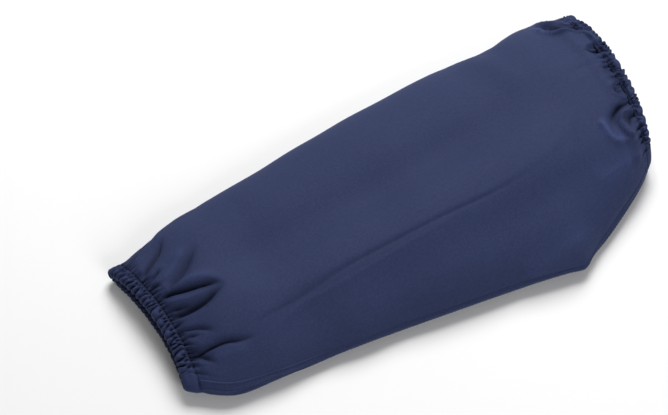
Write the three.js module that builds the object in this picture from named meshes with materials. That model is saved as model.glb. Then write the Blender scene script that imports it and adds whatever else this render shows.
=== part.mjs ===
// Protective sleeve for the forearm: a tapered tube of twill, gathered on an elastic at both ends,
// lying on its underside as it is when put down. Millimetres, +Z up, +X from the wrist to the arm,
// +Y from the front edge, where the side seam is, to the back edge.

import * as THREE from 'three';
import { LoftGeometry } from 'three/addons/geometries/LoftGeometry.js';

// Cloth and trimmings
const WALL = 1.2;
const GAP = 0.3;
const SLEEVE_LENGTH = 456;
const HEM_WIDTH = 13;
const ELASTIC_WIDTH = 8;
const ELASTIC_THICKNESS = 1;
const SEAM_WIDTH = 9;
const SEAM_THICKNESS = 1;
const SEAM_LIFT = 0.5;

// The sleeve as it lies, in sections from the wrist edge to the arm edge. "along" is measured along the
// cloth. Each section runs from the front edge to the back edge, bowed along X by "bow" at its middle.
// "height" is the crown, "edge" the height of the rolled edges, and "ridge" the place of the crown
// between the front edge, 0, and the back edge, 1. The higher "frontFull" and "backFull", the fuller
// the crown on that side of the ridge.
const SECTION_COLUMNS = [
  'along', 'frontX', 'frontY', 'backX', 'backY', 'bow', 'height', 'edge', 'ridge', 'frontFull', 'backFull',
];
const SECTION_ROWS = [
  [0, -223, -67, -236, 57, 9, 23, 11, 0.5, 3.0, 3.0],
  [13, -211, -75, -223, 60, 8, 24, 11, 0.5, 2.8, 2.8],
  [41, -186, -88, -196, 69, 4, 33, 10, 0.42, 2.0, 2.4],
  [77, -150, -89.5, -160, 80, 1, 38, 9, 0.36, 1.7, 2.3],
  [137, -90, -90.5, -101, 88, 0, 42, 9, 0.33, 1.6, 2.2],
  [227, 0, -97.5, -12, 102, 0, 46, 9, 0.33, 1.6, 2.2],
  [297, 70, -104, 57, 109, 2, 48, 9, 0.35, 1.6, 2.2],
  [330, 103, -108, 90, 111.5, 3, 49, 8, 0.36, 1.6, 2.2],
  [342, 115, -110, 103, 112, 3, 49, 7, 0.37, 1.6, 2.2],
  [354, 125, -104, 115, 112.5, 4, 49, 8, 0.38, 1.7, 2.2],
  [381, 150, -92, 142, 113, 6, 48, 10, 0.4, 1.8, 2.3],
  [421, 185, -71.5, 183, 117.5, 9, 46, 13, 0.45, 2.1, 2.4],
  [443, 204, -58, 211, 108, 10, 42, 16, 0.5, 2.6, 2.6],
  [456, 213, -50, 223, 103, 10, 40, 17, 0.5, 3.0, 3.0],
];
const SEAM_CORNER_ALONG = 342;
const CROWN_ROUNDING = 1.6;
const EDGE_ROLL = 16;

// Folds that run out of the hems over the top, as lines on the plan, each pressed in by "depth"
const FOLD_COLUMNS = ['fromX', 'fromY', 'toX', 'toY', 'halfWidth', 'depth'];
const FOLD_ROWS = [
  [-205, -47, -157, -55, 8, 6],
  [-203, -12, -164, -7, 7, 5],
  [-208, 11, -169, 5, 6, 4],
  [-198, 20, -172, 34, 8, 3],
  [-210, 36, -178, 58, 6, 4],
  [190, 97, 214, 82, 7, 5],
  [205, 48, 220, 46, 6, 3],
  [196, -4, 216, 0, 6, 4],
  [196, -24, 214, -14, 6, 4],
];
const FOLD_START = 8;

// Gathers: small ones in the hems, and broad ones that run from each stitch line into the body
const HEM_GATHER_DEPTH = 1.2;
const MOUTH_GATHER_DEPTH = 0.6;
const GATHER_UNEVENNESS = 0.25;
const GATHER_BEAT = 2.3;
const EDGE_SCALLOP = 0.8;
const BODY_GATHERS = 14;
const BODY_GATHER_DEPTH = 2.4;
const BODY_GATHER_REACH = 14;
const UNGATHERED_FROM_SEAM = 12;
const GATHERED_FROM_SEAM = 26;

// Hem casing, from the outer face inwards
const LEAF = 1;
const ELASTIC_CLEARANCE = 0.5;
const CHANNEL = ELASTIC_THICKNESS + 2 * ELASTIC_CLEARANCE;
const CHANNEL_START = HEM_GATHER_DEPTH + LEAF;
const MOUTH_START = CHANNEL_START + CHANNEL;
const EDGE_WALL = 2.2;
const EDGE_ROUNDING = 1.2;

// The seam is turned a little to the top at the wrist, and lies on the front edge from here on
const SEAM_TURN_AT_WRIST = 7;
const SEAM_TURN_END = 150;

// Facets
const BODY_COLUMNS = 56;
const BODY_ROWS = 26;
const BODY_ROW_CROWDING = 0.55;
const HEM_COLUMNS = 112;
const ELASTIC_COLUMNS = HEM_COLUMNS / 2;
const SEAM_POINTS = 4;
const SECTION_DIVISIONS = 400;

const NAVY_TWILL = new THREE.MeshStandardMaterial({ color: 0x363e5c, roughness: 0.85, metalness: 0 });
const WHITE_ELASTIC = new THREE.MeshStandardMaterial({ color: 0xe6e3da, roughness: 0.7, metalness: 0 });

const asNamed = (columns, values) => Object.fromEntries(columns.map((name, i) => [name, values[i]]));
const FOLDS = FOLD_ROWS.map((row) => asNamed(FOLD_COLUMNS, row));

// Section at any place along the cloth, by a smooth curve through the rows
const sectionCurves = new THREE.CubicInterpolant(
  SECTION_ROWS.map((row) => row[0]),
  SECTION_ROWS.flat(),
  SECTION_COLUMNS.length,
);

function sectionAt(along) {
  return asNamed(SECTION_COLUMNS, sectionCurves.evaluate(along));
}

// Outline of one section: over the crown from the front edge to the back edge, and back underneath
class SectionCurve extends THREE.Curve {
  constructor(section) {
    super();
    this.section = section;
    this.arcLengthDivisions = SECTION_DIVISIONS;
  }

  crownHeight(across) {
    const { height, edge, ridge, frontFull, backFull } = this.section;
    const inFront = across < ridge;
    const fromRidge = inFront ? 1 - across / ridge : (across - ridge) / (1 - ridge);
    const full = inFront ? frontFull : backFull;
    const rise = Math.max(0, 1 - fromRidge ** full) ** (1 / CROWN_ROUNDING);
    return edge + (height - edge) * rise;
  }

  undersideHeight(across) {
    const { frontY, backY, edge } = this.section;
    const fromEdge = Math.min(across, 1 - across) * (backY - frontY);
    const lift = Math.max(0, 1 - fromEdge / EDGE_ROLL);
    return edge * (1 - Math.sqrt(1 - lift ** 2));
  }

  getPoint(t, target = new THREE.Vector3()) {
    const { frontX, frontY, backX, backY, bow } = this.section;
    const onTop = t <= 0.5;
    const run = onTop ? 2 * t : 2 - 2 * t;
    const across = (1 - Math.cos(Math.PI * run)) / 2;
    const x = THREE.MathUtils.lerp(frontX, backX, across) + 4 * bow * across * (1 - across);
    const y = THREE.MathUtils.lerp(frontY, backY, across);
    const z = onTop ? this.crownHeight(across) : this.undersideHeight(across);
    return target.set(x, y, z);
  }
}

const curves = new Map();

function curveAt(along) {
  if (!curves.has(along)) curves.set(along, new SectionCurve(sectionAt(along)));
  return curves.get(along);
}

// Place on the smooth sleeve at "around", from 0 to 1 round the section, with the way out of it
function skinAt(along, around) {
  const curve = curveAt(along);
  const turn = THREE.MathUtils.euclideanModulo(around, 1);
  const point = curve.getPointAt(turn);
  const tangent = curve.getTangentAt(turn);
  const outward = new THREE.Vector3(0, -tangent.z, tangent.y).normalize();
  const fromSeam = Math.min(turn, 1 - turn) * curve.getLength();
  return { point, outward, fromSeam };
}

const insetPoint = (skin, inset) => skin.point.clone().addScaledVector(skin.outward, -inset);

// The cloth lies flat beside the seam, and is fully gathered from a little way off
function gathering(skin) {
  return THREE.MathUtils.smoothstep(skin.fromSeam, UNGATHERED_FROM_SEAM, GATHERED_FROM_SEAM);
}

// Depth of the main folds and broad gathers of the body at one place, none at the stitch lines
function foldDepth(skin, along, around) {
  const fromStitching = Math.min(along - HEM_WIDTH, SLEEVE_LENGTH - HEM_WIDTH - along);
  const pressed = Math.max(0, skin.outward.z) * THREE.MathUtils.smoothstep(fromStitching, 0, FOLD_START);
  const place = new THREE.Vector3(skin.point.x, skin.point.y, 0);
  let depth = 0;
  for (const fold of FOLDS) {
    const line = new THREE.Line3(
      new THREE.Vector3(fold.fromX, fold.fromY, 0),
      new THREE.Vector3(fold.toX, fold.toY, 0),
    );
    const distance = place.distanceTo(line.closestPointToPoint(place, true, new THREE.Vector3()));
    depth += pressed * fold.depth * Math.exp(-((distance / fold.halfWidth) ** 2));
  }
  const reach = fromStitching / BODY_GATHER_REACH;
  const wave = (1 - Math.cos(2 * Math.PI * BODY_GATHERS * around)) / 2;
  return depth + gathering(skin) * BODY_GATHER_DEPTH * wave * reach * Math.exp(1 - reach);
}

// Closed ring round the sleeve: profileAt gives the outline of its wall at one column
function ringGeometry(columns, profileAt) {
  const profiles = [];
  for (let column = 0; column <= columns; column += 1) {
    profiles.push(profileAt(column % columns));
  }
  return new LoftGeometry(profiles);
}

function bodyRows() {
  const start = HEM_WIDTH + GAP / 2;
  const end = SLEEVE_LENGTH - HEM_WIDTH - GAP / 2;
  const rows = [];
  for (let row = 0; row < BODY_ROWS; row += 1) {
    const even = row / (BODY_ROWS - 1);
    const crowded = even - BODY_ROW_CROWDING * Math.sin(2 * Math.PI * even) / (2 * Math.PI);
    rows.push(THREE.MathUtils.lerp(start, end, crowded));
  }
  const fromCorner = rows.map((along) => Math.abs(along - SEAM_CORNER_ALONG));
  rows[fromCorner.indexOf(Math.min(...fromCorner))] = SEAM_CORNER_ALONG;
  return rows;
}

function bodyGeometry() {
  const rows = bodyRows();
  return ringGeometry(BODY_COLUMNS, (column) => {
    const around = column / BODY_COLUMNS;
    const outside = [];
    const inside = [];
    for (const along of rows) {
      const skin = skinAt(along, around);
      const depth = foldDepth(skin, along, around);
      outside.push(insetPoint(skin, depth));
      inside.push(insetPoint(skin, depth + WALL));
    }
    return [...outside, ...inside.reverse()];
  });
}

// Hem casing: the cloth turned in at the edge, both leaves gathered, open towards the body
function hemGeometry(edgeAlong, inwards) {
  const stitching = HEM_WIDTH - GAP / 2;
  return ringGeometry(HEM_COLUMNS, (column) => {
    const around = column / HEM_COLUMNS;
    const valley = column % 2;
    const place = (fromEdge, insetAt) => {
      const along = edgeAlong + inwards * fromEdge;
      const skin = skinAt(along, around);
      const strength = gathering(skin) * (1 - GATHER_UNEVENNESS * (1 + Math.sin(GATHER_BEAT * column)) / 2);
      return insetPoint(skin, insetAt(strength));
    };
    const outer = (strength) => valley * HEM_GATHER_DEPTH * strength;
    const channelOuter = (strength) => outer(strength) + LEAF;
    const channelInner = (strength) => MOUTH_START + (1 - valley) * MOUTH_GATHER_DEPTH * strength;
    const mouth = (strength) => channelInner(strength) + LEAF;
    const middle = (strength) => (outer(strength) + mouth(strength)) / 2;
    const profile = [
      place(stitching, outer),
      place(EDGE_ROUNDING, outer),
      place(valley * EDGE_SCALLOP, middle),
      place(EDGE_ROUNDING, mouth),
      place(stitching, mouth),
      place(stitching, channelInner),
      place(EDGE_WALL, channelInner),
      place(EDGE_WALL, channelOuter),
      place(stitching, channelOuter),
    ];
    return inwards > 0 ? profile.reverse() : profile;
  });
}

function elasticGeometry(edgeAlong, inwards) {
  const outerInset = CHANNEL_START + ELASTIC_CLEARANCE;
  const innerInset = outerInset + ELASTIC_THICKNESS;
  const firstFromEdge = EDGE_WALL + (HEM_WIDTH - EDGE_WALL - ELASTIC_WIDTH) / 2;
  const lastFromEdge = firstFromEdge + ELASTIC_WIDTH;
  return ringGeometry(ELASTIC_COLUMNS, (column) => {
    const place = (fromEdge, inset) => {
      const skin = skinAt(edgeAlong + inwards * fromEdge, column / ELASTIC_COLUMNS);
      return insetPoint(skin, inset);
    };
    const profile = [
      place(lastFromEdge, outerInset),
      place(firstFromEdge, outerInset),
      place(firstFromEdge, innerInset),
      place(lastFromEdge, innerInset),
    ];
    return inwards > 0 ? profile.reverse() : profile;
  });
}

// Lapped seam: a strip on the outside of the body, from stitch line to stitch line
function seamGeometry() {
  const sections = [];
  for (const along of bodyRows()) {
    const turned = SEAM_TURN_AT_WRIST * (1 - THREE.MathUtils.smoothstep(along, HEM_WIDTH, SEAM_TURN_END));
    const underFace = [];
    const outerFace = [];
    for (let point = 0; point < SEAM_POINTS; point += 1) {
      const fromMiddle = SEAM_WIDTH * (point / (SEAM_POINTS - 1) - 0.5);
      const skin = skinAt(along, (turned + fromMiddle) / curveAt(along).getLength());
      underFace.push(insetPoint(skin, -SEAM_LIFT));
      outerFace.push(insetPoint(skin, -SEAM_LIFT - SEAM_THICKNESS));
    }
    sections.push([...underFace, ...outerFace.reverse()]);
  }
  return new LoftGeometry(sections, { capStart: true, capEnd: true });
}

function piece(name, geometry, material) {
  const mesh = new THREE.Mesh(geometry, material);
  mesh.name = name;
  return mesh;
}

const sleeve = new THREE.Group();
sleeve.add(piece('sleeve_body', bodyGeometry(), NAVY_TWILL));
sleeve.add(piece('side_seam', seamGeometry(), NAVY_TWILL));
sleeve.add(piece('wrist_hem', hemGeometry(0, 1), NAVY_TWILL));
sleeve.add(piece('wrist_elastic', elasticGeometry(0, 1), WHITE_ELASTIC));
sleeve.add(piece('arm_hem', hemGeometry(SLEEVE_LENGTH, -1), NAVY_TWILL));
sleeve.add(piece('arm_elastic', elasticGeometry(SLEEVE_LENGTH, -1), WHITE_ELASTIC));

// The origin is under the middle of the sleeve, on the surface that it lies on
const bounds = new THREE.Box3().setFromObject(sleeve, true);
const middle = bounds.getCenter(new THREE.Vector3());
sleeve.position.set(-middle.x, -middle.y, -bounds.min.z);

export default sleeve;
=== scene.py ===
# Looks of the protective sleeve: a navy twill tube with gathered elastic hems, lying on a pale floor.
import math

import bpy
import numpy as np
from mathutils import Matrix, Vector


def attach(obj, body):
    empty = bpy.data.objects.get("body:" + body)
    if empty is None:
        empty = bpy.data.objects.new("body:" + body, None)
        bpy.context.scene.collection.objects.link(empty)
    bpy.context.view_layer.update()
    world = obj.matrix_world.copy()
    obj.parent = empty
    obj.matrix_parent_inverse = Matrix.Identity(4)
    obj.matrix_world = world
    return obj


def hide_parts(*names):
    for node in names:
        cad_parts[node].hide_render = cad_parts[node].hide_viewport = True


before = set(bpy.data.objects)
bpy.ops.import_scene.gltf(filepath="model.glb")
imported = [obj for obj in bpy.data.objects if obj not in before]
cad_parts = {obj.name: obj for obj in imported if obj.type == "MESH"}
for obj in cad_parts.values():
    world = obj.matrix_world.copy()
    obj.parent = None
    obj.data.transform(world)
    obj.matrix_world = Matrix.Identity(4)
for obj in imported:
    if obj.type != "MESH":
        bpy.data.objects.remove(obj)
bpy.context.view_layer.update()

# Sizes are in millimetres, and meshes are written in metres
MM = 0.001
LEAST_LENGTH = 1e-9
SLEEVE_LENGTH = 456
HEM_WIDTH = 13
WRIST_STITCHING = HEM_WIDTH
ARM_STITCHING = SLEEVE_LENGTH - HEM_WIDTH
STITCHING = {"wrist": WRIST_STITCHING, "arm": ARM_STITCHING}
TOWARD_EDGE = {"wrist": -1, "arm": 1}

# The sleeve as it lies, in the same sections as the part's solids, from the wrist edge to the arm edge
SECTION_COLUMNS = (
    "along", "front_x", "front_y", "back_x", "back_y", "bow",
    "height", "edge", "ridge", "front_full", "back_full",
)
SECTIONS = np.array([
    [0, -223, -67, -236, 57, 9, 23, 11, 0.5, 3.0, 3.0],
    [13, -211, -75, -223, 60, 8, 24, 11, 0.5, 2.8, 2.8],
    [41, -186, -88, -196, 69, 4, 33, 10, 0.42, 2.0, 2.4],
    [77, -150, -89.5, -160, 80, 1, 38, 9, 0.36, 1.7, 2.3],
    [137, -90, -90.5, -101, 88, 0, 42, 9, 0.33, 1.6, 2.2],
    [227, 0, -97.5, -12, 102, 0, 46, 9, 0.33, 1.6, 2.2],
    [297, 70, -104, 57, 109, 2, 48, 9, 0.35, 1.6, 2.2],
    [330, 103, -108, 90, 111.5, 3, 49, 8, 0.36, 1.6, 2.2],
    [342, 115, -110, 103, 112, 3, 49, 7, 0.37, 1.6, 2.2],
    [354, 125, -104, 115, 112.5, 4, 49, 8, 0.38, 1.7, 2.2],
    [381, 150, -92, 142, 113, 6, 48, 10, 0.4, 1.8, 2.3],
    [421, 185, -71.5, 183, 117.5, 9, 46, 13, 0.45, 2.1, 2.4],
    [443, 204, -58, 211, 108, 10, 42, 16, 0.5, 2.6, 2.6],
    [456, 213, -50, 223, 103, 10, 40, 17, 0.5, 3.0, 3.0],
])
CROWN_ROUNDING = 1.6
EDGE_ROLL = 16
OUTLINE_SAMPLES = 1201
TANGENT_REACH = 0.5
# Places round a section are shares of its ring: 0 at its front edge, about this much at its back edge
BACK_EDGE = 0.5
# From the plan of the sections to the part's frame, whose origin is under the middle of its box
PLAN_SHIFT = np.array([3.616, -2.658, 0])

# Folds of the top, each a smooth line through points of the plan, with its half width and its depth.
# A negative depth is a ridge. A "skew" widens its front side and narrows its back side, or the reverse.
FOLD_COLUMNS = ("path", "half_width", "depth", "skew")
FOLDS = (
    (((-234, 46), (-211, 58), (-200, 66), (-184, 73)), 2.4, 4.0),
    (((-220, 48), (-207, 58), (-198, 62), (-172, 76)), 2.2, -1.4),
    (((-234, 18), (-212, 35), (-203, 42), (-192, 51), (-184, 64)), 2.8, 5.4, -0.4),
    (((-230, 17), (-208, 28), (-197, 35)), 1.8, 3.4, -0.2),
    (((-210, 17), (-198, 24), (-184, 35), (-170, 46)), 6.0, -2.2),
    (((-212, 8), (-195, 15), (-187, 18), (-176, 27), (-163, 40)), 5.0, 4.6, -0.5),
    (((-230, 8), (-213, 22), (-201, 17)), 1.7, 3.2),
    (((-232, 12), (-206, 9.5), (-197, 8), (-184, 4), (-168, 0), (-158, -7)), 2.4, 6.6, 0.2),
    (((-213, 14), (-199, 13.5), (-186, 13), (-170, 8), (-157, -2)), 4.0, -1.8),
    (((-214, 4), (-200, 1), (-188, -3), (-170, -5)), 4.0, -2.0),
    (((-226, 2), (-211, -3), (-202, -5), (-190, -10)), 1.8, 4.0),
    (((-222, -10), (-205, -12), (-192, -14), (-180, -14), (-170, -11), (-157, -4)), 3.8, 7.0, -0.5),
    (((-226, -14), (-203, -26), (-192, -32), (-182, -42)), 1.8, 3.4),
    (((-226, -25), (-210, -30), (-202, -33), (-192, -38)), 1.7, 3.4),
    (((-226, -44), (-206, -48), (-197, -50), (-180, -52), (-169, -56), (-152, -60)), 2.0, 5.2, -0.2),
    (((-212, -46), (-204, -49), (-199, -54), (-191, -65)), 2.4, 4.6),
    (((-200, -58), (-180, -61), (-163, -66)), 4.0, -1.0),
    (((-160, -60), (-146, -49), (-112, -46), (-55, -38), (29, -34), (85, -32), (155, -20)), 1.6, 0.8),
    (((-157, -64), (-113, -51), (-77, -49), (-20, -43), (45, -38)), 1.8, -0.6),
    (((-160, -60), (-112, -46), (-55, -38), (29, -34), (85, -32), (160, -20)), 9.0, 0.8, 0.7),
    (((184, 112), (191, 91), (207, 82), (228, 71), (244, 62)), 1.5, -5.2),
    (((187, 114), (196, 96), (214, 86), (230, 77), (246, 69)), 1.7, 5.0),
    (((190, 116), (201, 100), (216, 91), (231, 83), (246, 75)), 1.6, -3.2),
    (((194, 117), (205, 103), (219, 96), (232, 89), (246, 81)), 1.6, 3.0),
    (((118, 117), (129, 90), (138, 62), (146, 44)), 10.0, -1.2),
    (((240, 52), (224, 53), (214, 54), (204, 57)), 3.0, 6.5),
    (((240, 28), (226, 30), (216, 32), (207, 36)), 3.6, 6.0),
    (((236, 4), (222, 7), (212, 9), (202, 13)), 6.0, 6.5),
    (((228, 63), (215, 63), (208, 58), (211, 50), (226, 46)), 1.7, -2.8),
    (((230, 41), (217, 42), (210, 37), (212, 29), (228, 23)), 1.7, -3.0),
    (((229, 19), (217, 20), (207, 14), (208, 5), (222, 0)), 1.7, -3.4),
    (((232, 0), (216, -3), (207, -6), (201, -8), (192, -15), (188, -28)), 2.6, 6.5),
    (((178, -10), (182, -17), (183, -28), (190, -34), (210, -37)), 3.0, -4.8),
    (((232, -8), (216, -10), (202, -13), (197, -20), (200, -31), (213, -29)), 2.2, -6.6),
    (((236, -6), (221, -11), (208, -18), (202, -29)), 3.0, 7.4),
    (((234, -12), (219, -23), (212, -33), (205, -43)), 2.4, 4.5),
    (((165, 0), (156, -18), (153, -34)), 2.2, 0.5),
    (((-115, 74), (-113, 43), (-110, 18)), 3.0, 0.5, 0.5),
    (((60, -98), (98, -96), (139, -88)), 7.0, -1.6),
    (((-185, 8), (-120, 8), (-55, 13), (29, 20), (100, 26), (190, 34)), 25.0, 9.0),
    (((-156, -74), (-112, -67), (-55, -61), (29, -59), (85, -58), (150, -47), (200, -42)), 20.0, 4.0),
    (((150, -59), (183, -52), (211, -45)), 6.0, -1.2),
)
FOLD_POINTS = 24
# A fold's section is a bell, sharper on the narrow folds. It tapers at both ends.
FOLD_SHARPNESS = 1.12
FOLD_BLUNTNESS = 0.02
BROAD_FOLD = 8
BROAD_SHARPNESS = 2
FOLD_REACH = 5
FOLD_TAPER = (0.2, 0.7)
# Folds fade towards the stitch lines and where the cloth turns down
FOLD_AT_STITCHING = {"wrist": 0.35, "arm": 0.5}
FOLD_FULL_FROM = 12
FOLD_SLOPE = 0.35

# Soft low waves of the top
UNEVEN_SEED = 5
UNEVEN_WAVES = 14
UNEVEN_WAVELENGTH = (35, 110)
UNEVEN_SHARE = 0.035
UNEVEN_FROM = 30

# Gathers of the hems, one set of valleys by the stitch line and another by the edge. Each has its pitch,
# its slant, its seed and its unevenness.
HEM_GATHERS = {"wrist": (3.8, 4.0, 11, 0.4), "arm": (4.6, 4.0, 23, 0.75)}
EDGE_GATHERS = {"wrist": (5.2, 6.0, 37, 0.4), "arm": (5.6, 6.0, 41, 0.6)}
EDGE_GATHERS_FROM = (0.3, 0.7)
FLAT_BESIDE_SEAM = 13
FULLY_GATHERED = 22
GATHER_WIGGLE = 1.1
WIGGLE_TURN = 5
VALLEY_DEPTHS = {"wrist": (0.45, 1.0), "arm": (0.1, 1.0)}
# How deep a hem valley must be for its painted shade to start and to be full, at each end
VALLEY_SHADE = {"wrist": (0.05, 0.6), "arm": (0.25, 0.9)}
VALLEY_BLUNTNESS = 0.008
DEPTH_CHANGE = 0.3
DEPTH_TURN = 4
CREST_HEIGHTS = (0.35, 1.0)
HEM_VALLEY = 2.8
HEM_BULGE = {"wrist": 2.8, "arm": 3.2}
SIDE_FULLNESS = 0.1
FULL_UPRIGHT = 0.6
BACK_WIDTH = 16

# Creases that run from the stitch lines into the body, a few of them long
CREASE_DEPTH = 2.5
CREASE_FADE = 1.3
CREASE_SHARPNESS = 1.4
CREASE_SPREAD = 0.07
CREASE_SLANT = 0.25
SHORT_CREASE = (5, 20)
SHORT_CREASE_WIDTH = 1.2
LONG_CREASE = (15, 38)
LONG_CREASE_WIDTH = 2.2
LONG_CREASE_SHARE = 0.2

# Depths at which the painted shade in a crease is darkest and the painted highlight on a crest is brightest,
# and how strong each is
FULL_PAINTED_SHADE_DEPTH = 6
FULL_PAINTED_HIGHLIGHT_HEIGHT = 3.2
CREASE_SHADE = 0.75
PAINTED_CREST_HIGHLIGHT = 1.55

# Stitch lines: how far the cloth is pulled in, and how it swells out again beside them
STITCH_GROOVE = {"wrist": 1.0, "arm": 0.4}
GROOVE_VALLEY = 2.0
FLAT_GROOVE = 0.9
GROOVE_REACH = 7
END_SWELL = {"wrist": 0.3, "arm": 2.4}
END_SWELL_PLACE = 10
END_SWELL_WIDTH = 5
END_SWELL_RISE = 5

# The body as it is settled by the cloth simulation, free to move near the stitch lines
SETTLE_COLUMNS = 220
SETTLE_ROW_STEPS = (2.2, 5.5)
SETTLE_ROW_ZONES = ((50, 100),)
SETTLE_FRAMES = 24
SETTLE_CAP = 5
SPARE_CLOTH = 0.07
SPARE_REACH = 35
FREE_ZONE = (70, 130)
CLOTH_SETTINGS = {
    "quality": 5,
    "mass": 0.001,
    "bending_model": "LINEAR",
    "tension_stiffness": 80,
    "compression_stiffness": 80,
    "shear_stiffness": 5,
    "bending_stiffness": 0.02,
    "tension_damping": 0.5,
    "compression_damping": 0.5,
    "shear_damping": 0.5,
    "bending_damping": 0.1,
    "air_damping": 2,
    "time_scale": 2,
    "use_pressure": True,
    "uniform_pressure_force": 3,
}

# Meshes
BODY_COLUMNS = 432
BODY_INNER_COLUMNS = BODY_COLUMNS // 2
BODY_THICKNESS = 0.8
BODY_ROW_STEPS = (1.0, 2.0, 6.0)
BODY_ROW_ZONES = ((8, 16), (60, 100))
HEM_COLUMNS = 640
LENGTH_STEP = 4.0

# The cut panel before it was sewn and gathered: its width grows evenly from the wrist to the arm
CUT_WIDTH = 365
CUT_WIDTH_PLACE = 77
CUT_WIDENING = 0.421

# Hem casing: insets from the lying surface, with room for the elastic between 2.7 and 3.7
HEM_SWELL = {"wrist": (0.6, 4), "arm": (0.6, 4.5)}
HEM_OUTER = 0.2
HEM_MIDDLE = 3.2
HEM_INNER = 5.9
INNER_RIPPLE = 1.5
INNER_STEP = 1.7
INNER_FLOOR = 0.3
BODY_STEP = 0.4
BODY_STEP_RISE = 0.3
BODY_STEP_ZONE = (-0.2, 1)
OUTER_LIMIT = 2.35
OUTER_LIMIT_FROM = 1.2
# Lines across the casing, by their distance from the stitch line, and its rounded, scalloped edge
HEM_TUCK = 1.6
HEM_LINES = (
    -HEM_TUCK, -0.2, 0.5, 0.9, 1.25, 1.8, 2.5, 3.2, 4, 5.2,
    6.4, 7.6, 8.8, 9.9, 10.8, 11.5, 12.1, 12.6, 12.9, HEM_WIDTH,
)
HEM_LYING_LINES = 10
EDGE_ROUND = 3.2
EDGE_SCALLOP = 1.8
CREST_SCALLOP = 0.4
SCALLOP_FROM = 8

# Pointed back corner of the arm end: how far the cloth is drawn along X and Y, by distance from the edge
ARM_CORNER = np.array([
    [0, 4.2, 3.8],
    [6, 1.8, 2.8],
    [13, 0.3, 1.8],
    [24, 0, 0],
    [36, 0, -1.5],
    [60, 0, 0],
])
ARM_CORNER_WIDTH = 9
ARM_CORNER_WIDENING = 0.35
INNER_CORNER_FROM = 10

# Side seam: a strip on the body, with two rows of stitches
SEAM_WIDTH = 9
SEAM_RAISED = 0.75
SEAM_LIFT = 0.05
SEAM_SINK = 0.15
SEAM_EDGE = 0.9
SEAM_COLUMNS = 11
SEAM_ROW_STEPS = (2.0,)
SEAM_TURN_AT_WRIST = 7
SEAM_TURN_END = 150
SEAM_STITCHES_AT = 2.7
SEAM_STITCHES_FROM = 8
SEAM_STITCHES_SINK = 0.15
SEAM_DENT = 0.22
SEAM_DENT_WIDTH = 0.7

# Stitches
STITCH_PITCH = 3.0
STITCH_SHARE = 0.72
STITCH_RADIUS = 0.24
STITCH_TIP = 0.12
STITCH_RISE = 1.3
STITCH_BURIED = 0.3
STITCH_SIDES = 6
STITCH_STATIONS = (0.0, 0.2, 0.5, 0.8, 1.0)
HEM_STITCH_LINE = 4

# Weave: spacing of the wales, yarns and ribs, and how far band textures turn over a unit of length
WALE_SPACING = 1.2
YARN_SPACING = 0.3
YARN_HEIGHT = 0.35
YARN_TONE = 0.25
RIB_SPACING = 0.5
BAND_TURN = 20
DIAGONAL_BAND_TURN = 10

# Colours, the darker first where there are two
TWILL_TONES = ((0.0258, 0.0364, 0.0975, 1), (0.0288, 0.0400, 0.105, 1))
# Painted shade colour, mixed into creases, valleys and grooves
PAINTED_SHADE_TONE = (0.003, 0.0045, 0.0135, 1)
SHEEN_TINT = (0.5, 0.62, 1.0, 1)
THREAD_TONES = ((0.014, 0.019, 0.048, 1), (0.026, 0.034, 0.080, 1))
ELASTIC_TONES = ((0.62, 0.6, 0.54, 1), (0.82, 0.8, 0.74, 1))
FLOOR_TONES = ((0.86, 0.86, 0.86, 1), (0.88, 0.88, 0.88, 1))

# Camera at the photograph's angle, and the frame of the picture
CAMERA_TARGET = (-37.4, 32.8, 0)
CAMERA_AZIMUTH = -26.4
CAMERA_ELEVATION = 60
CAMERA_DISTANCE = 1700
PICTURE_WIDTH = 668
MM_PER_PIXEL = 0.833
SENSOR_WIDTH = 36

# Floor, and each light's name, its place and size in metres, and its power in watts
FLOOR_HALF = 4000
FLOOR_DROP = 0.2
LIGHTS = (
    ("key", (0.76, 1.24, 1.65), 1.2, 60),
    ("fill", (0.0, -2.0, 0.93), 1.2, 22),
)
SKY_STRENGTH = 0.16


def smooth_step(value, low, high):
    """0 up to low, 1 from high on, and a smooth rise between them."""
    share = np.clip((value - low) / (high - low), 0, 1)
    return share * share * (3 - 2 * share)


def catmull_rom(before, near, far, after, share):
    """The place between near and far on a smooth curve through four points."""
    bend = 2 * before - 5 * near + 4 * far - after
    turn = 3 * (near - far) + after - before
    return near + 0.5 * share * (far - before + share * (bend + share * turn))


def unit(vectors):
    """The vectors with a length of 1."""
    return vectors / np.maximum(np.linalg.norm(vectors, axis=-1), LEAST_LENGTH)[..., None]


def line_lengths(line):
    """How far along a line of points each of them is."""
    return np.concatenate([[0], np.cumsum(np.linalg.norm(np.diff(line, axis=0), axis=1))])


def read_line(places, reached, values):
    """Points or directions at places along a line, from those at the lengths reached."""
    return np.stack([np.interp(places, reached, values[:, axis]) for axis in range(3)], axis=-1)


def closed(values, axis=0):
    """The values with the first of them again at the end."""
    return np.concatenate([values, np.take(values, [0], axis)], axis)


def add_object(name, data):
    """A new object in the scene."""
    piece = bpy.data.objects.new(name, data)
    bpy.context.scene.collection.objects.link(piece)
    return piece


# The lying shape
def section_at(along):
    """The section's values at any place along the cloth, on a smooth curve through the rows."""
    places = SECTIONS[:, 0]
    values = SECTIONS[:, 1:]
    slopes = np.empty_like(values)
    slopes[1:-1] = (values[2:] - values[:-2]) / (places[2:] - places[:-2])[:, None]
    slopes[0] = (values[1] - values[0]) / (places[1] - places[0])
    slopes[-1] = (values[-1] - values[-2]) / (places[-1] - places[-2])
    row = int(np.clip(np.searchsorted(places, along) - 1, 0, len(places) - 2))
    span = places[row + 1] - places[row]
    share = (along - places[row]) / span
    near = (2 * share**3 - 3 * share**2 + 1) * values[row]
    near_slope = (share**3 - 2 * share**2 + share) * span * slopes[row]
    far = (3 * share**2 - 2 * share**3) * values[row + 1]
    far_slope = (share**3 - share**2) * span * slopes[row + 1]
    return dict(zip(SECTION_COLUMNS[1:], near + near_slope + far + far_slope))


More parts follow.
